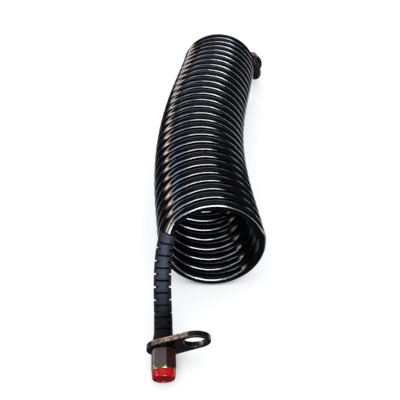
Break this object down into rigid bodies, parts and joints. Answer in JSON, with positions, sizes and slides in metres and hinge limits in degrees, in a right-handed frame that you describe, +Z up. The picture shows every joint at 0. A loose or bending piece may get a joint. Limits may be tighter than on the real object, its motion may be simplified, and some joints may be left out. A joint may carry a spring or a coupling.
{
  "type": "coiled air hose",
  "caption": "Self-storing coiled air hose lying at rest, with a slotted anti-kink sleeve, hanger lug, swivelling union nut and protective plug on each tail.",
  "frame": {"origin": "centre of the box's footprint on the floor, at floor height", "axes": "+Y along the coil from the near end to the far end, +Z up, +X to the right seen from the near end"},
  "size_m": [0.169, 0.7176, 0.1238],
  "materials": {
    "coil_tube": "high-gloss extruded nylon, near black",
    "sleeve_rubber": "matt moulded rubber, blue-black",
    "lug_plastic": "semi-gloss moulded black plastic",
    "nut_zinc": "yellow-chromated zinc plate with pink and green iridescence",
    "nipple_steel": "zinc-plated turned steel",
    "ferrule_steel": "crimped zinc-plated steel",
    "seal_rubber": "smooth black nitrile",
    "plug_plastic": "bright red, slightly translucent moulded plastic"
  },
  "bodies": {
    "near_coil_end": {"coil_tube": "coil_tube", "near_anti_kink_sleeve": "sleeve_rubber"},
    "near_fitting": {"near_crimp_ferrule": "ferrule_steel", "near_nipple": "nipple_steel", "near_cone_o_ring": "seal_rubber"},
    "near_lug": {"near_hanger_lug": "lug_plastic"},
    "near_nut": {"near_union_nut": "nut_zinc"},
    "near_plug": {"near_protective_plug": "plug_plastic"},
    "far_coil_end": {"far_anti_kink_sleeve": "sleeve_rubber"},
    "far_fitting": {"far_crimp_ferrule": "ferrule_steel", "far_nipple": "nipple_steel", "far_cone_o_ring": "seal_rubber"},
    "far_lug": {"far_hanger_lug": "lug_plastic"},
    "far_nut": {"far_union_nut": "nut_zinc"},
    "far_plug": {"far_protective_plug": "plug_plastic"}
  },
  "joints": [
    {"name": "coil_stretch", "type": "slide", "parent": "near_coil_end", "child": "far_coil_end", "axis": [0, 1, 0], "range_m": [-0.03, 2.5], "stiffness_N_per_m": 40, "deforming": ["coil_tube"]},
    {"name": "near_tail_flex", "type": "hinge", "parent": "near_coil_end", "child": "near_fitting", "pos_m": [-0.05498, -0.26645, 0.03926], "axis": [-0.9958, -0.0915, 0], "range_deg": [-15, 35], "stiffness_Nm_per_rad": 6, "deforming": ["near_anti_kink_sleeve", "coil_tube"]},
    {"name": "near_lug_turn", "type": "hinge", "parent": "near_fitting", "child": "near_lug", "pos_m": [-0.04963, -0.32376, 0.01823], "axis": [0.0896, -0.9756, -0.2006], "continuous": true},
    {"name": "near_nut_swivel", "type": "hinge", "parent": "near_fitting", "child": "near_nut", "pos_m": [-0.04963, -0.32376, 0.01823], "axis": [0.0896, -0.9756, -0.2006], "continuous": true},
    {"name": "near_plug_pull", "type": "slide", "parent": "near_nut", "child": "near_plug", "axis": [0.0896, -0.9756, -0.2006], "range_m": [0, 0.03]},
    {"name": "far_tail_flex", "type": "hinge", "parent": "far_coil_end", "child": "far_fitting", "pos_m": [0.06797, 0.26379, 0.02791], "axis": [0.9998, 0.0174, 0], "range_deg": [-15, 35], "stiffness_Nm_per_rad": 6, "deforming": ["far_anti_kink_sleeve", "coil_tube"]},
    {"name": "far_lug_turn", "type": "hinge", "parent": "far_fitting", "child": "far_lug", "pos_m": [0.06649, 0.32468, 0.01825], "axis": [-0.0174, 0.9974, -0.0698], "continuous": true},
    {"name": "far_nut_swivel", "type": "hinge", "parent": "far_fitting", "child": "far_nut", "pos_m": [0.06649, 0.32468, 0.01825], "axis": [-0.0174, 0.9974, -0.0698], "continuous": true},
    {"name": "far_plug_pull", "type": "slide", "parent": "far_nut", "child": "far_plug", "axis": [-0.0174, 0.9974, -0.0698], "range_m": [0, 0.03]}
  ]
}
